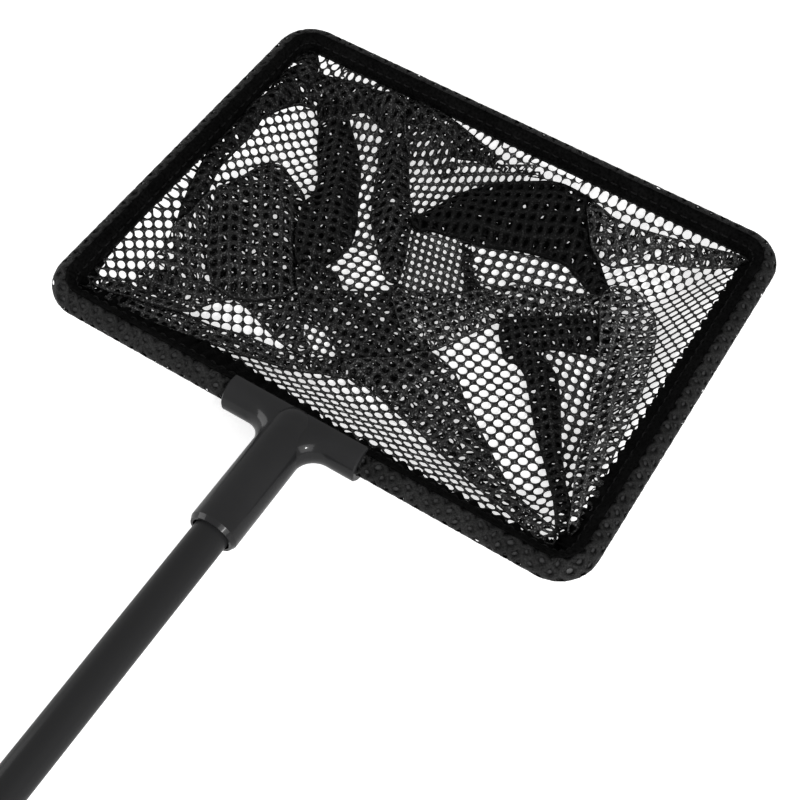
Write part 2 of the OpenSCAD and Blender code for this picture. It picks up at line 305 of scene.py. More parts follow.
# The grid of the height maps, which cover the inside of the rim
MAP_STEP = 0.7
MAP_X, MAP_Y = np.arange(-75, 75.1, MAP_STEP), np.arange(-57.5, 57.6, MAP_STEP)
MAP = np.stack(np.meshgrid(MAP_X, MAP_Y), -1)

# How far in from the edge the bag's wall runs, in plan
WALL_RUN = 20
# How high the ground's waves are lifted off the lowest cloth, and how far in from the edge they are full
WAVE_LIFT, WAVE_RUN = 0.35, 12
# Points from each point of an outline to the next, and how strongly the curve bends to its neighbours
CURVE_STEPS, CURVE_BEND = 6, 0.8
# Points that inside_gap works on at a time, to spare memory
BATCH = 4000


def from_edge(x, y):
    """Distance from the bag's edge, in plan."""
    gap_x, gap_y = EDGE_W - np.abs(x), EDGE_D - np.abs(y)
    corner_x, corner_y = EDGE_CORNER - gap_x, EDGE_CORNER - gap_y
    in_corner = (corner_x > 0) & (corner_y > 0)
    return np.where(in_corner, EDGE_CORNER - np.hypot(corner_x, corner_y), np.minimum(gap_x, gap_y))


def wall_height(edge):
    """Height of the bag's wall at a distance from the edge: from the rim down to the lowest cloth."""
    return FLOOR_Z + (EDGE_Z - FLOOR_Z) * (0.5 + 0.5 * np.cos(np.pi * np.clip(edge / WALL_RUN, 0, 1)))


def smooth(t):
    """From 0 to 1 with soft ends, as t goes from 0 to 1."""
    t = np.clip(t, 0, 1)
    return t * t * (3 - 2 * t)


def ground_height(x, y):
    """Height of the single cloth, which lies on the table in low waves and runs up the wall."""
    edge = from_edge(x, y)
    waves = (0.5 * np.sin(x / 8.3 + 1.3 * np.sin(y / 12.7)) * np.sin(y / 9.1 + 1.1 * np.sin(x / 11.3 + 1))
             + 0.2 * np.sin(x / 4.9 + y / 6.1) * np.sin(y / 5.3 - x / 8.7))
    return wall_height(edge) + np.maximum(waves + WAVE_LIFT, 0) * smooth(edge / WAVE_RUN)


def closed_curve(points):
    """A smooth closed curve through points, as a ring of more points."""
    points = np.array(points, float)
    ahead, back = np.roll(points, -1, 0) - points, points - np.roll(points, 1, 0)
    long, short = np.linalg.norm(ahead, axis=1), np.linalg.norm(back, axis=1)
    way = ahead + back
    way *= (CURVE_BEND * np.minimum(long, short) / (np.linalg.norm(way, axis=1) + 1e-6))[:, None]
    t = (np.arange(CURVE_STEPS) / CURVE_STEPS)[:, None, None]
    path = ((2 * t**3 - 3 * t**2 + 1) * points + (t**3 - 2 * t**2 + t) * way
            + (3 * t**2 - 2 * t**3) * np.roll(points, -1, 0) + (t**3 - t**2) * np.roll(way, -1, 0))
    return path.transpose(1, 0, 2).reshape(-1, 2)


def inside_gap(points, curve):
    """How far inside a closed curve points lie, less than 0 outside, and the nearest places on it."""
    legs = np.roll(curve, -1, 0) - curve
    sizes = (legs**2).sum(1) + 1e-12
    gaps, places = np.empty(len(points)), np.empty((len(points), 2))
    for start in range(0, len(points), BATCH):
        batch = slice(start, start + BATCH)
        part = points[batch]
        offset = part[:, None] - curve
        share = np.clip((offset * legs).sum(-1) / sizes, 0, 1)[..., None]
        left = offset - share * legs
        k = (left**2).sum(-1).argmin(1)
        row = np.arange(len(part))
        places[batch] = part - left[row, k]
        x, y = part[:, :1], part[:, 1:]
        crosses = (curve[:, 1] > y) != (curve[:, 1] + legs[:, 1] > y)
        rise = np.where(legs[:, 1] == 0, 1e-9, legs[:, 1])
        ahead = x < curve[:, 0] + (y - curve[:, 1]) * legs[:, 0] / rise
        inside = (crosses & ahead).sum(1) % 2 == 1
        gaps[batch] = np.linalg.norm(left[row, k], axis=1) * np.where(inside, 1, -1)
    return gaps, places


def widened(field, reach, pick):
    """The field with each place given the pick of its neighbours, reach steps each way."""
    for axis in (0, 1):
        field = pick([np.roll(field, k, axis) for k in range(-reach, reach + 1)], axis=0)
    return field


def on_map(field, points):
    """The field's values at points in plan."""
    x = np.clip((points[:, 0] - MAP_X[0]) / MAP_STEP, 0, len(MAP_X) - 1.001)
    y = np.clip((points[:, 1] - MAP_Y[0]) / MAP_STEP, 0, len(MAP_Y) - 1.001)
    i, j = x.astype(int), y.astype(int)
    a, b = x - i, y - j
    c00, c10, c01, c11 = field[j, i], field[j, i + 1], field[j + 1, i], field[j + 1, i + 1]
    return (1 - b) * ((1 - a) * c00 + a * c10) + b * ((1 - a) * c01 + a * c11)


def cloth_normal(field, points):
    """Directions square to the height map field, from its rise over twice a step."""
    step = 0.5
    rise_x = on_map(field, points + (step, 0)) - on_map(field, points - (step, 0))
    rise_y = on_map(field, points + (0, step)) - on_map(field, points - (0, step))
    return np.stack([-rise_x, -rise_y, np.full(len(points), 2 * step)], 1)


def strands(lie):
    """The steps from hole to hole along the net's two strands, from their lengths and directions."""
    long_a, turn_a, long_b, turn_b = lie
    turns = np.radians([turn_a, turn_b])
    return np.stack([np.cos(turns), np.sin(turns)], 1) * [[long_a], [long_b]]


def lay_net(lie, hole, middle, reach, keep, snap, field, laid=lambda p: p):
    """A net with holes of radius hole round middle, out to reach, on the height map field. It has the cells
    whose middle keep passes. laid moves its points in plan, and snap those of its border."""
    steps = strands(lie)
    count = int(reach) + 2  # more cells than reach needs, as a cell is over 1 across
    holes = np.stack(np.meshgrid(np.arange(-count, count), np.arange(-count, count)), -1).reshape(-1, 2)
    holes = holes[(np.abs(holes @ steps) < reach).all(1)]
    holes = holes[keep(laid(holes @ steps + middle))]
    crest, corner, border = knit(holes, RING)
    plan = laid(crest @ steps + middle)
    rim = np.unique(border)
    plan[rim] = snap(plan[rim])
    cells = plan[corner]
    centre = cells.mean(1, keepdims=True)
    inner = (centre + (cells - centre) * (hole / PITCH / RING_R)).reshape(-1, 2)
    crests = np.concatenate([plan, on_map(field, plan)[:, None]], 1)
    edges = np.concatenate([inner, on_map(field, inner)[:, None]], 1)
    return net_solid(crests, cloth_normal(field, plan), edges, corner, border)


# Folds: the lower layers' painted shade and the top layer's holes, as shares of what the fold's row says
UNDER_PAINTED_SHADE, TOP_HOLE = 0.4, 0.78
# Height of the first layer over its bed, of each next one at the outline, and what is added inside it
FIRST_LIFT, LAYER_LIFT, LAYER_GAP = 0.3, 0.25, 0.35
# How much of the puff the first layer gets, each next one more, and how far in from the outline it is full
FIRST_PUFF, LAYER_PUFF, PUFF_RUN = 0.2, 0.4, 7
# Steps of the map over which the bed under a fold is evened out
BED_REACH = 2
# The map round a fold that it is worked out on, past its outline, and the gap that stands for further away
MARGIN, FAR_OUTSIDE = 3, -9.0
# How far inside the outline the middles of a fold's outer cells lie at least
FOLD_INSET = 0.1


class Fold:
    """A closed outline in plan, in which the cloth lies in layers on what is below."""

    def __init__(self, lie, puff, layers, hole, painted_shading, outline):
        long_a, turn_a, long_b, turn_b = lie
        # The lower layers are turned by different angles, so that no holes line up
        lowest = (long_b, turn_a + 33, PITCH, turn_b + 40)
        middle = (PITCH, turn_a - 24, long_a, turn_b - 20)
        self.lies = [lowest, middle, lie][-layers:]
        self.puff, self.hole, self.painted_shading = puff, hole, painted_shading
        self.curve = closed_curve(outline)

    def rest_on(self, top):
        """Sets the heights of its layers on the top of what lies below, and gives the new top."""
        low, high = self.curve.min(0) - MARGIN, self.curve.max(0) + MARGIN
        rows = np.where((MAP_Y > low[1]) & (MAP_Y < high[1]))[0]
        columns = np.where((MAP_X > low[0]) & (MAP_X < high[0]))[0]
        part = np.ix_(rows, columns)
        near = MAP[part]
        gap = np.full(top.shape, FAR_OUTSIDE)
        gap[part] = inside_gap(near.reshape(-1, 2), self.curve)[0].reshape(near.shape[:2])
        bed = widened(widened(top, BED_REACH, np.max), BED_REACH, np.mean)
        rise = self.puff * smooth(gap / PUFF_RUN)
        apart = LAYER_GAP * smooth(gap)
        self.fields = [bed + FIRST_LIFT + LAYER_LIFT * k + k * apart + (FIRST_PUFF + LAYER_PUFF * k) * rise
                       for k in range(len(self.lies))]
        return np.where(gap > 0, np.maximum(top, self.fields[-1] + CLOTH_HALF), top)

    def layers(self):
        """The nets of its layers from below, each with its painted light and shade."""
        middle = (self.curve.min(0) + self.curve.max(0)) / 2
        reach = np.abs(self.curve - middle).max() + PITCH
        for number, (lie, field) in enumerate(zip(self.lies, self.fields), 1):
            on_top = number == len(self.lies)
            net = lay_net(lie, self.hole * (TOP_HOLE if on_top else 1), middle, reach,
                          lambda p: inside_gap(p, self.curve)[0] > FOLD_INSET,
                          lambda p: inside_gap(p, self.curve)[1], field)
            # The lower layers get painted shade, darker than the top layer
            yield *net, self.painted_shading * (1 if on_top else UNDER_PAINTED_SHADE)


# Ground of the bag: places where the cloth lies single. Each has the lie of its net, as length and direction
# in degrees of the two strands from hole to hole, the radius of a hole, and its outline in plan.
GROUND = [
    # left side
    ((2.76, 44, 3.01, 133), 1.08,
     ((-71.6, -41.9), (-71.6, -32.8), (-71.6, -23.2), (-71.6, -15), (-71.6, -5.7), (-71.6, 4.7),
      (-69.1, -5.7), (-66.8, -13.7), (-65, -19.5), (-63.2, -26.8), (-63.1, -32.6), (-63, -39.1),
      (-66, -43.4), (-70.5, -45.6))),
    # upper middle
    ((2.75, 58, 2.7, 150), 1.11,
     ((-67.4, 25), (-65.5, 31.1), (-62.7, 37.1), (-58, 40.3), (-51.9, 29.5), (-45.4, 20.3), (-44.3, 12.6),
      (-51.9, 16), (-55.4, 17.6), (-58, 16), (-60.3, 11.6), (-61.5, 5.6), (-62.3, -1.5), (-65.7, -0.9),
      (-66.6, 4.6), (-66.6, 10.4), (-66.5, 16.4))),
    # far sliver
    ((2.4, 16, 3.4, 100), 0.91,
     ((-50.5, 42.4), (-45.9, 45.4), (-38.3, 43.6), (-36.4, 38.5), (-32.7, 30.6), (-28.6, 22), (-24.9, 15.2),
      (-21.6, 12.6), (-25.4, 10.4), (-30.2, 16.9), (-34.4, 25), (-38.4, 31.1), (-43.8, 36.9), (-47.5, 40))),
    # far middle
    ((2.3, 27, 2.9, 98), 0.92,
     ((-33.1, 46.8), (-26.3, 48.7), (-19.4, 46.6), (-15.6, 44.7), (-3.3, 48.2), (7.9, 51.4), (4.3, 46.4),
      (-3.1, 42.9), (-7.2, 39.3), (-10, 36), (-11.9, 31), (-13.9, 26.3), (-16.1, 22.9), (-21.1, 29.6),
      (-26.1, 37), (-30, 44.1))),
    # far side, left part
    ((2.5, 350, 2.9, 80), 1.18,
     ((-28.9, 53.8), (-18.3, 53.8), (-7, 53.8), (4.5, 53.8), (7.1, 53.8), (7.7, 51.2), (2.8, 48.9),
      (-3.3, 48.2), (-7.9, 49.5), (-14.7, 51.1), (-20.5, 52.6), (-26.4, 53.8))),
    # far side, right part
    ((2.78, 2, 2.8, 92), 1.27,
     ((5.2, 53.8), (11.2, 53.8), (23, 53.8), (35.6, 53.8), (48.2, 53.8), (60.3, 53.8), (56.6, 51.2),
      (45.4, 49.9), (39.7, 49.3), (27.1, 50.1), (14.9, 49.6), (8.2, 47.8))),
    # right of the centre
    ((2.91, 18, 3.13, 100), 0.95,
     ((0.5, 24.3), (2.6, 24.4), (14.4, 29.6), (25.7, 31.7), (31.1, 30.3), (35, 28.8), (29.7, 24.4),
      (20.1, 19.4), (9.8, 15.8), (4.4, 17.5))),
    # centre
    ((2.1, 6, 2.55, 112), 0.72,
     ((-14.7, 20.7), (-7.7, 24), (0.5, 24.3), (4.4, 17.5), (10.2, 9.7), (4, 4.5), (-4.1, -0.2), (-9.8, 9.1),
      (-12.3, 15.8))),
    # left of the centre
    ((2.9, 7, 2.63, 87), 1.06,
     ((-21.8, 2.8), (-17.5, 4.6), (-10, 0.8), (-8.1, -2.2), (-18.7, -9.4), (-21.5, -9.9), (-21.2, -3.1))),
    # spindle at the near left
    ((2.8, 27, 3.3, 122), 1.23,
     ((-48.3, -39.1), (-46.1, -34.4), (-41.1, -28.3), (-37.8, -28.1), (-29.2, -30.4), (-22.3, -32.2),
      (-14.2, -32.2), (-23.8, -34.5), (-32.3, -35.8), (-39.6, -38.7), (-43.9, -39.4))),
    # near side
    ((2.56, 37, 2.85, 144), 1.05,
     ((-38.9, -46.1), (-26.1, -42.2), (-12.9, -36.8), (-2.7, -31.5), (2.4, -31.4), (8.5, -32.5),
      (15.5, -34.2), (22.4, -36), (33.4, -39.8), (44, -43.9), (53, -47), (49.1, -47.8), (33.1, -49.4),
      (19.3, -50), (4.9, -49.9), (-7, -49.8), (-17.6, -49.6), (-27.5, -48.5))),
    # small field by the spindle
    ((2.4, 5, 2.2, 101), 0.93,
     ((-21.4, -22.9), (-16.7, -21.9), (-10.3, -25.5), (-7, -28.3), (-10.2, -30.8), (-15, -28.3),
      (-18.4, -26.9))),
    # broad field at the near right
    ((2.8, 79, 2.9, 177), 1.15,
     ((10.7, -13.3), (16, -5.3), (22.1, 4.9), (24.1, 5.2), (29.2, -4.8), (31.7, -4), (35.9, -6.3),
      (40.7, -12.3), (46.1, -19.4), (53.1, -27), (60.5, -36.3), (65, -45), (56.7, -41.8), (51.3, -39.2),
      (44.5, -34.2), (39.5, -30.5), (32, -25.1), (26.8, -21.1), (21, -15.7), (16.6, -13.9))),
    # sliver beside it
    ((2.81, 101, 2.72, 1), 0.93,
     ((35.7, 2.1), (40.8, 6.4), (48.2, 10.7), (50.5, 4.8), (53.5, -4), (56.9, -13.4), (59.9, -24.8),
      (63.1, -34), (60.7, -31.2), (54.7, -21.3), (47.2, -8.2), (42.9, -2), (38.3, -0.1))),
    # right side
    ((2.87, 53, 2.2, 138), 1.24,
     ((34.5, 37.5), (44.5, 41.6), (59.7, 45.9), (71, 46.7), (71.6, 39.5), (71.6, 29.9), (70.7, 21.3),
      (70.3, 16.9), (70.4, 4.5), (70.1, -6.3), (70.2, -20), (70.2, -33.2), (69.7, -34.1), (67, -21.2),
      (65.7, -7.9), (64.1, 4.1), (59.5, 20.3), (56, 28.2), (49, 33.6), (43, 33.7), (38.8, 33.1))),
]

# Folds of the bag, from the lowest up: the lie of the net on top, how far the fold puffs up, its layers, the
# radius of a hole, the painted light and shade of its cloth, and its outline in plan
FOLDS = [
    # far wall
    ((2.6, 55, 2.8, 148), 1.5, 3, 1.05, 0.68,
     ((-70.2, 29.2), (-71.1, 39.3), (-69.1, 46.6), (-56.7, 48.8), (-38.3, 51.8), (-26, 53.4), (-10.9, 50),
      (-3.1, 47.6), (-8.7, 45.3), (-15, 43.5), (-18.8, 45.4), (-25.7, 47.6), (-32.6, 45.9), (-37.7, 42.5),
      (-45.2, 44.2), (-50.3, 41.6), (-57.4, 39.4), (-62, 36.1), (-64.8, 30.2), (-66.6, 23.9), (-70.3, 23.5))),
    # left wall
    ((2.8, 18, 3.1, 98), 1.5, 3, 0.92, 0.44,
     ((-71.1, 5), (-71.1, 11.7), (-71.1, 21.4), (-69.7, 28.6), (-67.2, 36.4), (-62.2, 36.5), (-64, 29.1),
      (-65.9, 23), (-65.7, 15.4), (-65.8, 9.4), (-65.8, 3.6), (-64.8, -1.9), (-63.4, -7.2), (-62.8, -13.4),
      (-61.9, -19.1), (-63.3, -22.4), (-64.2, -19.4), (-66, -14.6), (-68.3, -6.6))),
    # left back
    ((2.7, 32, 3.3, 128), 1.5, 2, 1.27, 1.4,
     ((-62.8, -7.7), (-62, -3.1), (-56.6, -3.7), (-48.9, -14.2), (-44.5, -24.9), (-48.2, -31.4),
      (-54.9, -35.3), (-61.9, -40.1), (-62.3, -33.4), (-62.5, -27.5), (-63.2, -21.6), (-62.5, -15.3))),
    # near left, outside the spindle
    ((2.6, 7, 2.5, 101), 0.8, 2, 1.11, 1,
     ((-68.1, -49.7), (-63.3, -46.7), (-54.3, -44.1), (-46.6, -41), (-38.6, -39.9), (-31.4, -36.9),
      (-23.1, -35.4), (-13.6, -33), (-7.2, -29.3), (-0.5, -31.6), (-7.9, -35.1), (-12.2, -37.8),
      (-24.9, -43.6), (-34, -45.9), (-37.8, -47.4), (-49.4, -50), (-61.6, -50.6))),
    # near left
    ((2.7, 27, 3, 110), 2, 2, 1.13, 1.1,
     ((-71.1, -47.6), (-66, -45.1), (-61.5, -40.4), (-58.3, -34.5), (-49.2, -29.8), (-39.1, -26.2),
      (-29.6, -19.1), (-25.4, -13.6), (-20.9, -15.6), (-20.5, -22.7), (-18, -27.5), (-13.5, -30.4),
      (-13, -33.9), (-21, -33), (-28.7, -30.9), (-36, -28.3), (-40.8, -28.7), (-45.3, -35.2),
      (-45.6, -42.1), (-53, -45.4), (-61.7, -48.3), (-67.4, -49.2))),
    # left lobe
    ((2.72, 28, 3.3, 124), 4.5, 3, 1.14, 0.9,
     ((-61.7, -4.3), (-61.8, 0.7), (-60.7, 4.8), (-59.4, 10.5), (-57.3, 15.1), (-54.8, 16.8), (-50.2, 14.9),
      (-43.7, 11.3), (-37.9, 1.7), (-31.6, -7.2), (-27.4, -15.3), (-28.9, -21.5), (-34.1, -26.3),
      (-40.4, -28.6), (-45.4, -28.3), (-51.4, -23.5), (-55.5, -16.8), (-58.9, -10.5))),
    # upper left fold
    ((2.74, 25, 3, 115), 3.5, 3, 0.96, 0.36,
     ((-57.6, 38.7), (-50.4, 41.7), (-46.3, 39.1), (-41.3, 34.6), (-35.6, 27.2), (-31.3, 19.1),
      (-26.7, 11.4), (-24.3, 4.2), (-25.6, -3.7), (-30.2, -11.2), (-37.1, -2.8), (-41.7, 7.4),
      (-42.3, 12.7), (-44.8, 19.4), (-51.2, 28.4), (-55.3, 35.6))),
    # upper right fold
    ((2.6, 20, 3, 105), 4.5, 3, 1.03, 0.65,
     ((-43.3, 48.9), (-36.5, 51.5), (-31.9, 43.8), (-28.5, 40.6), (-25.2, 36), (-20.4, 28.7), (-15.3, 22.1),
      (-12.1, 14.8), (-8.9, 7.6), (-7, 0.9), (-10.2, 0.1), (-16.8, 6.4), (-20.9, 10.9), (-24.1, 14.4),
      (-28, 21.1), (-32.1, 29.6), (-35.8, 37.4), (-37.1, 41.5), (-42.1, 44))),
    # corner gather
    ((2.6, 60, 2.4, 150), 0.8, 3, 0.87, 0.5,
     ((-71.1, 53.3), (-71.1, 53.4), (-67.9, 53.4), (-65, 50.4), (-61.4, 43), (-64.7, 40.2), (-70.3, 46.9))),
    # far crease
    ((2.8, 2, 2.8, 92), 0.6, 2, 0.9, 0.7,
     ((-20.6, 48), (-16.3, 47.8), (-10.7, 46.6), (-5.9, 45.7), (-1, 46.9), (4.5, 48.3), (9.5, 50.5),
      (11.7, 49.5), (6.5, 47.6), (-0.3, 45.7), (-6.7, 44.1), (-11.7, 44.6), (-16.5, 45.5))),
    # crease beside the centre
    ((2.8, 20, 2.8, 110), 0.8, 2, 0.9, 0.4,
     ((-1.9, 26), (0, 26), (3.9, 21.4), (8.6, 13.9), (12.8, 9.3), (10.4, 7.1), (6.6, 12.4), (1.7, 19.8))),
    # single cloth over the far middle
    ((2.3, 27, 2.9, 98), 0.5, 1, 1.09, 0.7,
     ((-31.7, 44.3), (-25.7, 47.4), (-18.6, 44.8), (-12.6, 43.1), (-13.1, 40.7), (-15.4, 37.6),
      (-19.7, 39.3), (-23.8, 40.6), (-25.9, 38), (-29.8, 41.5))),
    # behind middle
    ((2.8, 20, 2.9, 105), 4, 3, 0.87, 0.14,
     ((-14.3, 19.6), (-13.4, 25.3), (-11.4, 30.1), (-9.5, 34.9), (-6.7, 38.2), (0, 42.7), (9.9, 46.9),
      (15.5, 49.3), (25, 48.9), (29.8, 46.1), (32, 39.6), (35.2, 36.3), (39.4, 31.9), (43.4, 27.7),
      (41.1, 25.3), (35.4, 27.5), (31.3, 29.6), (25.9, 31), (14.9, 28.5), (3.2, 23), (-2.1, 22.4),
      (-9.1, 21), (-12.2, 17.9))),
    # far right
    ((2.95, 38, 2.9, 127), 1.5, 2, 1.19, 1.5,
     ((25.5, 46.5), (40.5, 47.4), (56.8, 50.4), (69.5, 53.4), (70.7, 50.5), (59.7, 45.3), (47.3, 41.4),
      (35.6, 35), (29.9, 38.9))),
    # middle
    ((2.5, 5, 2.8, 100), 2.5, 2, 1.04, 0.65,
     ((-29.9, -13.4), (-27.2, -7.1), (-21.3, -6.4), (-16.9, -9.6), (-7.5, -3.2), (-6.1, 0.5), (-1.6, -2.8),
      (3.7, -9.3), (11.7, -13.4), (14.9, -15.8), (13.4, -21.2), (9.5, -26.9), (3.8, -32.3), (-1.8, -33),
      (-6.1, -29.5), (-9.7, -26), (-16.1, -22.8), (-20.6, -24), (-24.3, -19.9))),
    # ridge
    ((2.5, 62, 2.4, 145), 2.5, 2, 1.3, 1.6,
     ((-5.3, -3), (4.4, 3.6), (11.3, 7.5), (20.6, 18.4), (30.2, 23.1), (38.1, 24.9), (43.5, 24.9),
      (44.2, 20.3), (34.7, 14.7), (28.1, 10.5), (22.3, 4.5), (17.8, -3.4), (14.1, -9.9), (11.9, -15.6),
      (7.5, -16.7), (0.7, -11.6))),
    # diagonal
    ((2.7, 77, 2.85, 174), 4, 2, 1.22, 1.2,
     ((-3.4, -30.5), (5.5, -23.2), (12.2, -16.1), (16.9, -14.7), (21.2, -16.3), (27, -21.7), (32.3, -25.7),
      (39.8, -31.1), (44.7, -34.8), (51.8, -40.6), (57.2, -43.2), (65.5, -46.4), (66.6, -50.6), (61, -50.9),
      (53.4, -48.2), (44.6, -45.4), (34, -41.1), (22.9, -36.8), (15.9, -35), (8.9, -33.1), (3.4, -33))),
    # right valley
    ((2.3, 40, 2.8, 125), 2, 3, 1.03, 0.34,
     ((22.8, 3.3), (28.4, 9.5), (43.8, 19.5), (48.3, 18), (49.5, 10.1), (41.1, 5.5), (35.9, 1.4),
      (42.9, -2.9), (47.4, -9), (55.1, -22.4), (61.1, -32.5), (65.8, -39.5), (68.1, -46.6), (65.8, -47.4),
      (60.5, -37.9), (53.4, -28), (46.4, -20.2), (41, -13.1), (36.2, -7.2), (32.1, -4.9), (29.5, -5.6))),
    # right fold
    ((2.9, 108, 3, 40), 4, 2, 1.3, 2.2,
     ((41.4, 25), (43.8, 32.9), (49.2, 32.9), (56.3, 26.8), (60.1, 18.8), (64.3, 2.9), (66, -9),
      (67.6, -22), (70, -34.6), (69.9, -43.2), (68.6, -47), (66, -40.3), (60.4, -26), (57.2, -14.5),
      (53.8, -4.9), (50.7, 4.1), (48.8, 9.3), (45.5, 15.7))),
]

ground = ground_height(MAP[..., 0], MAP[..., 1])
places = [(lie, hole, closed_curve(outline)) for lie, hole, outline in GROUND]

# Painted light on the ground's single cloth, as a factor on its colour
GROUND_PAINTED_LIGHT = 1.4
# Cells of the ground's nets: how far in from the edge they start, how near the edge a border is drawn on to
# it, how far a place's net runs under the next one's, and how far past its outline its cells are looked for
EDGE_GAP, EDGE_SNAP, NET_OVERLAP, NET_MARGIN = 0.4, PITCH * 0.75, 0.8, 25

# Along the wall: distance from the bag's edge in plan against the length of cloth from there
WALL_EDGE = np.linspace(0, WALL_RUN, 46)
WALL_LONG = np.append(0, np.cumsum(np.hypot(np.diff(WALL_EDGE), np.diff(wall_height(WALL_EDGE)))))


def laid_down(points):
    """Plan of points of the flat ground cloth, which runs further at the wall than its plan does."""
    size = np.array([EDGE_W, EDGE_D]) - WALL_RUN
    past = np.abs(points) - size
    shorter = WALL_RUN - np.interp(WALL_LONG[-1] - past, WALL_LONG, WALL_EDGE)
    return np.where(past > 0, np.sign(points) * (size + shorter), points)


def to_edge(points):
    """Points near the bag's edge, moved on to it."""
    edge = from_edge(*points.T)
    x, y = points.T
    step = 0.05
    way = np.stack([from_edge(x + step, y) - from_edge(x - step, y),
                    from_edge(x, y + step) - from_edge(x, y - step)], 1)
    way /= np.linalg.norm(way, axis=1)[:, None] + 1e-9
    return np.where((edge < EDGE_SNAP)[:, None], points - way * edge[:, None], points)


# On the map, how far inside each place's outline a point lies, and the most of all places
place_gaps = np.stack([inside_gap(MAP.reshape(-1, 2), curve)[0] for *_, curve in places])
place_gaps = place_gaps.reshape(-1, *MAP.shape[:2])
nearest_gap = place_gaps.max(0)


def join(parts):
    """One set of points and faces from several nets, and each point's painted light and shade."""
    starts = np.cumsum([0] + [len(points) for points, *_ in parts])
    return (np.concatenate([points for points, *_ in parts]),
            np.concatenate([faces + start for (_, faces, _), start in zip(parts, starts)]),
            np.concatenate([np.full(len(points), painted_shading) for points, _, painted_shading in parts]))


def ground_nets():
    """The ground's nets, place by place: each has the points that lie deepest in its own outline."""
    for number, (lie, hole, curve) in enumerate(places):
        def keep(points):
            behind = on_map(nearest_gap - place_gaps[number], points)
            return (from_edge(*points.T) > EDGE_GAP) & (behind < NET_OVERLAP)
        middle = (curve.min(0) + curve.max(0)) / 2
        reach = np.abs(curve - middle).max() + NET_MARGIN
        yield *lay_net(lie, hole, middle, reach, keep, to_edge, ground, laid_down), GROUND_PAINTED_LIGHT


def fold_nets():
    """The nets of each fold, stacked from the lowest fold up."""
    top = ground + CLOTH_HALF
    for row in FOLDS:
        fold = Fold(*row)
        top = fold.rest_on(top)
        yield list(fold.layers())


# Faces of a net per hole: a ring above, a ring below, and the hole's share of the border
FACES_PER_HOLE = 24.6


def flat_area(parts):
    """Area of nets laid flat, in square millimetres, from their number of holes."""
    holes = sum(len(faces) // FACES_PER_HOLE for _, faces, _ in parts)
    return holes * PITCH**2


# The first folds lie at the left, and make a piece of their own
LEFT_FOLDS = 9
fold_list = list(fold_nets())
nets = {
    "bag_ground": list(ground_nets()),
    "bag_folds_left": sum(fold_list[:LEFT_FOLDS], []),
    "bag_folds_right": sum(fold_list[LEFT_FOLDS:], []),
}
bag_pieces = []
for name, parts in nets.items():
    points, faces, painted_shadings = join(parts)
    bag_pieces.append(add_piece(name, points, faces, mesh_cloth, "mesh_fabric", painted_shadings))

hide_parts("net_bag")


# --- Rim: mesh hem, gathered band and stitches ---

def rim_table():
    """Distance along the rim's centreline from the tee, places, and the direction outwards."""
    marks = []
    ends = ((RIM_W, -RIM_D, -90), (RIM_W, RIM_D, 0), (-RIM_W, RIM_D, 90), (-RIM_W, -RIM_D, 180))
    for x, y, start in ends:
        for turn in np.linspace(0, 90, 19):
            angle = np.radians(start + turn)
            centre = np.array([x - np.sign(x) * RIM_CORNER, y - np.sign(y) * RIM_CORNER])
            marks.append((*(centre + RIM_CORNER * np.array([np.cos(angle), np.sin(angle)])), angle))
    marks = [(0, -RIM_D, -np.pi / 2), *marks, (0, -RIM_D, 1.5 * np.pi)]
    marks = np.array(marks)
    gaps = np.linalg.norm(np.diff(marks[:, :2], axis=0), axis=1)
    return np.append(0, np.cumsum(gaps)), marks


rim_along, rim_marks = rim_table()
RIM_LENGTH = rim_along[-1]


def at_rim(along, inward, up):
    """Places inward and up from the rim's centreline."""
    along = along % RIM_LENGTH
    x, y, angle = (np.interp(along, rim_along, rim_marks[:, k]) for k in range(3))
    return np.stack([x - inward * np.cos(angle), y - inward * np.sin(angle), RIM_Z + up], -1)


# The hem's net lies crosswise on the rim, with its holes in rows shifted by turns: step from hole to hole
# along the rim, radius of the net, half its thickness, radius of a hole, and the cell, turned by an eighth
HEM_STEP = PITCH * np.sqrt(2)
HEM_NET_R, HEM_HALF, HEM_HOLE = 3.2, 0.06, 0.6
HEM_TURNED = RING @ np.array([[1, 1], [-1, 1]]) / 2
hem_columns, hem_rows = round(RIM_LENGTH / HEM_STEP), 5


def hem_at(points):
    """Places of the hem's net on the rim, a little uneven. A whole number of each wave goes round."""
    along = points[:, 0] / hem_columns * RIM_LENGTH
    turn = points[:, 1] / hem_rows * 2 * np.pi
    turns = 2 * np.pi * along / RIM_LENGTH
    along = along + 0.35 * np.sin(31 * turns + 2 * turn) + 0.25 * np.sin(71 * turns - turn)
    turn = turn + 0.1 * np.sin(43 * turns + turn) + 0.08 * np.sin(97 * turns + 3 * turn)
    return at_rim(along, -HEM_NET_R * np.cos(turn), HEM_NET_R * np.sin(turn))


def hem_net():
    """Points and faces of the hem's net, closed round the rim and along it."""
    i, j = np.meshgrid(np.arange(hem_columns), np.arange(2 * hem_rows))
    centres = np.stack([(i + 0.5 * (j % 2)).ravel(), (j / 2).ravel()], 1)
    crest, corner, border = knit(centres, HEM_TURNED, (hem_columns, hem_rows))
    inner = (centres[:, None] + HEM_TURNED * (HEM_HOLE / PITCH / RING_R)).reshape(-1, 2)
    step = 0.15
    normal = np.cross(hem_at(crest + (step, 0)) - hem_at(crest - (step, 0)),
                      hem_at(crest + (0, step)) - hem_at(crest - (0, step)))
    return net_solid(hem_at(crest), normal, hem_at(inner), corner, border, HEM_HALF)


hem = add_piece("hem_net", *hem_net(), hem_cloth, "mesh_fabric")
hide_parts("hem")


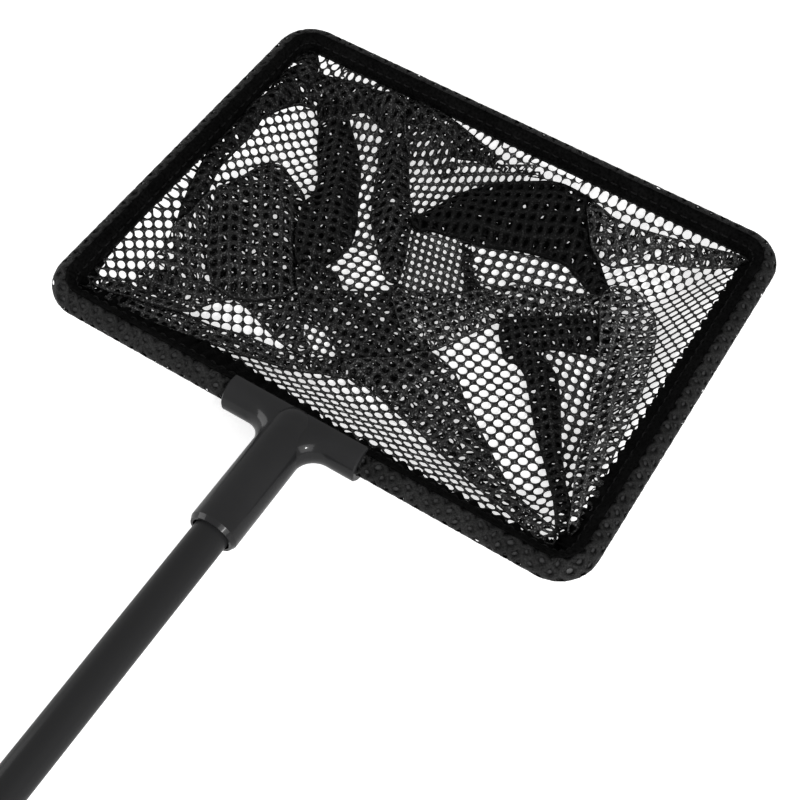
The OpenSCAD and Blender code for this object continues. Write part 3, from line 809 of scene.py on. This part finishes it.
# The band that closes the hem: its rows along the rim, where it starts and ends round the rim, in degrees up
# from the inner side, its radius, how steeply its loose part hangs, and its thickness
BAND_ROWS = 1100
BAND_START, BAND_END = 78, -45
BAND_R, BAND_SLOPE, BAND_THICK = HEM_R + 0.5, 0.45, 0.3


def add_strip(name, grid, thick, finish, slot):
    """A closed ring of cloth thick millimetres thick, from a grid whose rows go round."""
    rows, columns = grid.shape[:2]
    around = np.roll(grid, -1, 0) - np.roll(grid, 1, 0)
    normal = np.cross(around, np.gradient(grid, axis=1))
    normal *= thick / 2 / (np.linalg.norm(normal, axis=-1, keepdims=True) + 1e-9)
    loop = np.concatenate([grid + normal, (grid - normal)[:, ::-1]], 1)
    number = np.arange(rows * 2 * columns).reshape(rows, 2 * columns)
    after, beside = np.roll(number, -1, 0), np.roll(number, -1, 1)
    faces = np.stack([number, after, np.roll(after, -1, 1), beside], -1).reshape(-1, 4)
    return add_piece(name, loop.reshape(-1, 3), faces, finish, slot)


def band_grid():
    """The hem's gathered inner edge. It lies on the rim's inner half, and hangs into the opening at the near
    side, most of all left of the handle, and at the right side. Its near black is partly painted shade of the
    gap inside the rim."""
    along = np.linspace(0, RIM_LENGTH, BAND_ROWS, endpoint=False)[:, None]
    angle = np.interp(along, rim_along, rim_marks[:, 2])
    near, right = np.maximum(-np.sin(angle), 0)**2, np.maximum(np.cos(angle), 0)**2
    x, y = np.moveaxis(at_rim(along, 0 * along, 0 * along), -1, 0)[:2]
    # The band hangs further at the near corners, where its near black is painted shade
    left_corner = np.exp(-((x + 73)**2 + (y + 55)**2) / 12**2)
    right_corner = np.exp(-((x - 73)**2 + (y + 55)**2) / 9**2)
    near_hang = np.interp(x, [-60, -25, 10], [7.0, 6.5, 2.6])
    hang = 0.25 + near_hang * near + 2.6 * right + 3.5 * (left_corner + right_corner)
    start, end = np.radians(BAND_START), np.radians(BAND_END + 30 * np.maximum(near, right))
    turn = start + (end - start) * np.linspace(0, 1, 9)
    out = np.array([0.2, 0.4, 0.6, 0.8, 1.0])
    inward = np.concatenate([BAND_R * np.cos(turn), BAND_R * np.cos(end) + hang * out], 1)
    up = np.concatenate([BAND_R * np.sin(turn), BAND_R * np.sin(end) - BAND_SLOPE * hang * out**1.3], 1)
    # Ruffles about 4 mm long with finer ones on them, which grow towards the loose edge
    loose = np.linspace(0, 1, inward.shape[1])[None]**1.5
    ruffle = np.sin(2 * np.pi * along / 3.7 + 0.9 * np.sin(along / 11)) + 0.5 * np.sin(along / 0.83 + 2)
    ruffle = ruffle * np.minimum(0.25 + hang / 3, 1)
    wave = 0.3 * ruffle * loose
    return at_rim(along + 0 * inward, inward + wave, up + wave + 0.06 * ruffle)


band = add_strip("hem_band", band_grid(), BAND_THICK, band_cloth_painted_shade, "mesh_fabric")

# The seam: length of a stitch, points along it, sides and radius of the thread, where it runs round the rim,
# in degrees and from its centreline, and how far it dips into the cloth and out
STITCH, STITCH_POINTS = 3, 8
THREAD_SIDES, THREAD_R = 6, 0.22
SEAM_TURN, SEAM_R, SEAM_WAVE = 30, HEM_R + 0.55, 0.3


def add_thread():
    """A running stitch along the band, as one closed thread."""
    count = round(RIM_LENGTH / STITCH) * STITCH_POINTS
    along = np.linspace(0, RIM_LENGTH, count, endpoint=False)
    turn = np.radians(SEAM_TURN)
    r = SEAM_R + SEAM_WAVE * np.cos(np.arange(count) * 2 * np.pi / STITCH_POINTS)
    path = at_rim(along, r * np.cos(turn), r * np.sin(turn))
    ahead = np.roll(path, -1, 0) - np.roll(path, 1, 0)
    side = np.cross(ahead, (0, 0, 1))
    side /= np.linalg.norm(side, axis=1)[:, None]
    over = np.cross(side, ahead)
    over /= np.linalg.norm(over, axis=1)[:, None]
    ring = np.arange(THREAD_SIDES)[:, None] * 2 * np.pi / THREAD_SIDES
    points = path[:, None] + THREAD_R * (np.cos(ring) * side[:, None] + np.sin(ring) * over[:, None])
    number = np.arange(count * THREAD_SIDES).reshape(count, THREAD_SIDES)
    after = np.roll(number, -1, 0)
    faces = np.stack([number, np.roll(number, -1, 1), np.roll(after, -1, 1), after], -1).reshape(-1, 4)
    return add_piece("hem_stitches", points.reshape(-1, 3), faces, thread_cloth, "thread")


stitches = add_thread()
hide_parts("seam_thread")

# Flat areas of the bag's nets, from their number of holes
for net, parts in zip(bag_pieces, nets.values()):
    flat = flat_area(parts)


# --- Floor, backdrop and light ---

# The floor's white, its glow to the camera, and the world's light on the object
FLOOR_WHITE, FLOOR_GLOW, WORLD_LIGHT = 0.85, 0.62, 0.4


def seen_rays(tree, seen, unseen):
    """A strength of seen for rays that show the background, and unseen for those that light the object."""
    path = tree.nodes.new("ShaderNodeLightPath")
    total = path.outputs["Is Camera Ray"]
    for ray in ("Is Glossy Ray", "Is Transmission Ray"):
        more = tree.nodes.new("ShaderNodeMath")
        more.operation = "MAXIMUM"
        tree.links.new(total, more.inputs[0])
        tree.links.new(path.outputs[ray], more.inputs[1])
        total = more.outputs[0]
    strength = tree.nodes.new("ShaderNodeMapRange")
    strength.inputs["To Min"].default_value = unseen
    strength.inputs["To Max"].default_value = seen
    tree.links.new(total, strength.inputs["Value"])
    return strength.outputs["Result"]


def add_floor():
    """A pale floor that is nearly white to the camera and keeps the object's shadow."""
    mesh = bpy.data.meshes.new("floor")
    half = 3
    corners = [(-half, -half, 0), (half, -half, 0), (half, half, 0), (-half, half, 0)]
    mesh.from_pydata(corners, [], [(0, 1, 2, 3)])
    made = add_object("floor", mesh)
    finish = bpy.data.materials.new("floor")
    finish.use_nodes = True
    tree = finish.node_tree
    tree.nodes.clear()
    out = tree.nodes.new("ShaderNodeOutputMaterial")
    both = tree.nodes.new("ShaderNodeAddShader")
    matt = tree.nodes.new("ShaderNodeBsdfDiffuse")
    matt.inputs["Color"].default_value = (FLOOR_WHITE, FLOOR_WHITE, FLOOR_WHITE, 1)
    glow = tree.nodes.new("ShaderNodeEmission")
    tree.links.new(seen_rays(tree, FLOOR_GLOW, 0), glow.inputs["Strength"])
    tree.links.new(matt.outputs[0], both.inputs[0])
    tree.links.new(glow.outputs[0], both.inputs[1])
    tree.links.new(both.outputs[0], out.inputs["Surface"])
    mesh.materials.append(finish)
    made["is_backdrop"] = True


def add_lamp(name, place, aim, size, power):
    """A square lamp at place that faces aim, size metres wide, with its power in watts."""
    lamp = bpy.data.lights.new(name, "AREA")
    lamp.size = size
    lamp.energy = power
    made = add_object(name, lamp)
    made.location = place
    made.rotation_euler = (Vector(aim) - Vector(place)).to_track_quat("-Z", "Y").to_euler()


# Place, aim, size and power of a broad key from the right, a lamp that lights the edges from the left, and a
# small one for the glint on the tee
LAMPS = {
    "key": ((0.6, -0.3, 0.42), (0, 0.1, 0), 0.6, 4.5),
    "edge": ((-0.6, -0.05, 0.25), (0, 0.05, 0), 0.4, 3.0),
    "glint": ((0.55, -0.27, 0.42), (0, 0.1, 0), 0.03, 3),
}

add_floor()
world = bpy.data.worlds.new("studio")
world.use_nodes = True
background = world.node_tree.nodes["Background"]
background.inputs["Color"].default_value = (1, 1, 1, 1)
world.node_tree.links.new(seen_rays(world.node_tree, 1.0, WORLD_LIGHT), background.inputs["Strength"])
scene.world = world
for name, values in LAMPS.items():
    add_lamp(name, *values)
scene.view_settings.view_transform = "Standard"


# --- Sizes of the CAD box and of the scene ---

sizes = [[[float(v) for v in corner] for corner in box] for box in (cad_box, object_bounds())]
